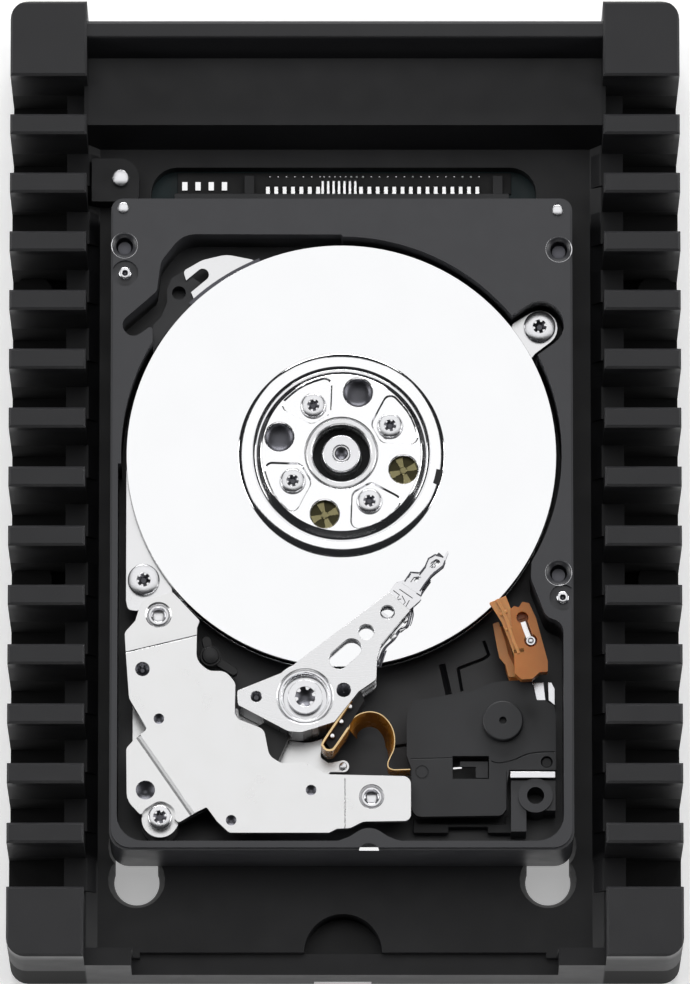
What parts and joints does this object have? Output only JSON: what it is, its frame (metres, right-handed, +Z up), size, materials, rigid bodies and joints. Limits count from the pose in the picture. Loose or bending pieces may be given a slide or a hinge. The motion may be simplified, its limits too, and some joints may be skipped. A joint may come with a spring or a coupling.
{
  "type": "hard disk drive",
  "caption": "Open hard disk drive: a small cased drive with spinning disks and a swinging head arm, carried in a finned black heat-sink tray",
  "frame": {"origin": "bottom centre of the tray", "axes": "+Y along the length towards the connector end, +X to the right, +Z up out of the open side of the drive"},
  "size_m": [0.1016, 0.147, 0.0261],
  "materials": {
    "tray_black": "black coated aluminium, satin",
    "base_grey": "dark grey electro-coated aluminium casting, satin",
    "steel": "bright machined steel",
    "nickel": "nickel-plated stamped steel, satin",
    "clamp_chrome": "polished",
    "disk_mirror": "polished disk",
    "machined_aluminium": "fine machined aluminium",
    "damper_aluminium": "stamped aluminium, satin",
    "magnet": "nickel-plated magnet",
    "copper": "enamelled copper wire",
    "stator_steel": "laminated steel, coated",
    "board_teal": "solder mask over glass-fibre board",
    "chip_black": "moulded black epoxy",
    "plastic_black": "black moulded plastic",
    "plastic_grey": "dark grey moulded plastic",
    "ramp_amber": "amber engineering plastic, slightly glossy",
    "flex_kapton": "amber polyimide film over copper",
    "contact_gold": "gold-plated contacts",
    "pin_tin": "tin-plated contacts",
    "slider_ceramic": "dark ceramic"
  },
  "bodies": {
    "chassis": {"heat_sink_frame": "tray_black", "drive_mounting_screws": "steel", "interposer_pcb": "board_teal", "interposer_receptacle": "plastic_grey", "receptacle_pins": "pin_tin", "sata_connector": "plastic_black", "sata_contacts": "contact_gold", "interposer_screws": "steel", "locator_pin": "steel", "base_casting": "base_grey", "drive_pcb": "board_teal", "pcb_chips": "chip_black", "pcb_screws": "steel", "drive_sata_plug": "plastic_black", "motor_stator": "stator_steel", "motor_windings": "copper", "spindle_shaft": "steel", "disk_damper": "damper_aluminium", "damper_screws": "steel", "vcm_top_plate": "nickel", "vcm_bottom_plate": "nickel", "vcm_top_magnet": "magnet", "vcm_bottom_magnet": "magnet", "vcm_screws": "steel", "crash_stop_pin": "steel", "pivot_shaft": "steel", "flex_cable": "flex_kapton", "flex_bracket_cover": "plastic_grey", "bracket_strip": "steel", "breather_cap": "plastic_grey", "load_ramp": "ramp_amber", "ramp_pin": "steel", "ramp_bracket": "steel", "cover_datum_pins": "steel", "locator_screws": "steel", "latch_pin": "plastic_black"},
    "spindle_rotor": {"spindle_hub": "machined_aluminium", "rotor_magnet": "magnet", "upper_platter": "disk_mirror", "lower_platter": "disk_mirror", "platter_spacer": "machined_aluminium", "disk_clamp": "clamp_chrome", "clamp_screws": "steel"},
    "actuator": {"actuator_arm": "machined_aluminium", "pivot_sleeve": "steel", "pivot_bearings": "steel", "coil_overmold": "plastic_black", "voice_coil": "copper", "head_suspensions": "steel", "head_sliders": "slider_ceramic", "arm_flex": "flex_kapton", "preamp_chip": "chip_black"},
    "latch": {"latch_lever": "plastic_black"}
  },
  "joints": [
    {"name": "spindle_spin", "type": "hinge", "parent": "chassis", "child": "spindle_rotor", "pos_m": [-0.00055, 0.00378, 0.02], "axis": [0, 0, 1], "continuous": true},
    {"name": "actuator_swing", "type": "hinge", "parent": "chassis", "child": "actuator", "pos_m": [-0.006, -0.03365, 0.02], "axis": [0, 0, 1], "range_deg": [-31, 9], "deforming": ["flex_cable"]},
    {"name": "latch_swing", "type": "hinge", "parent": "chassis", "child": "latch", "pos_m": [-0.0203, -0.0266, 0.0185], "axis": [0, 0, 1], "range_deg": [-8, 8]}
  ]
}
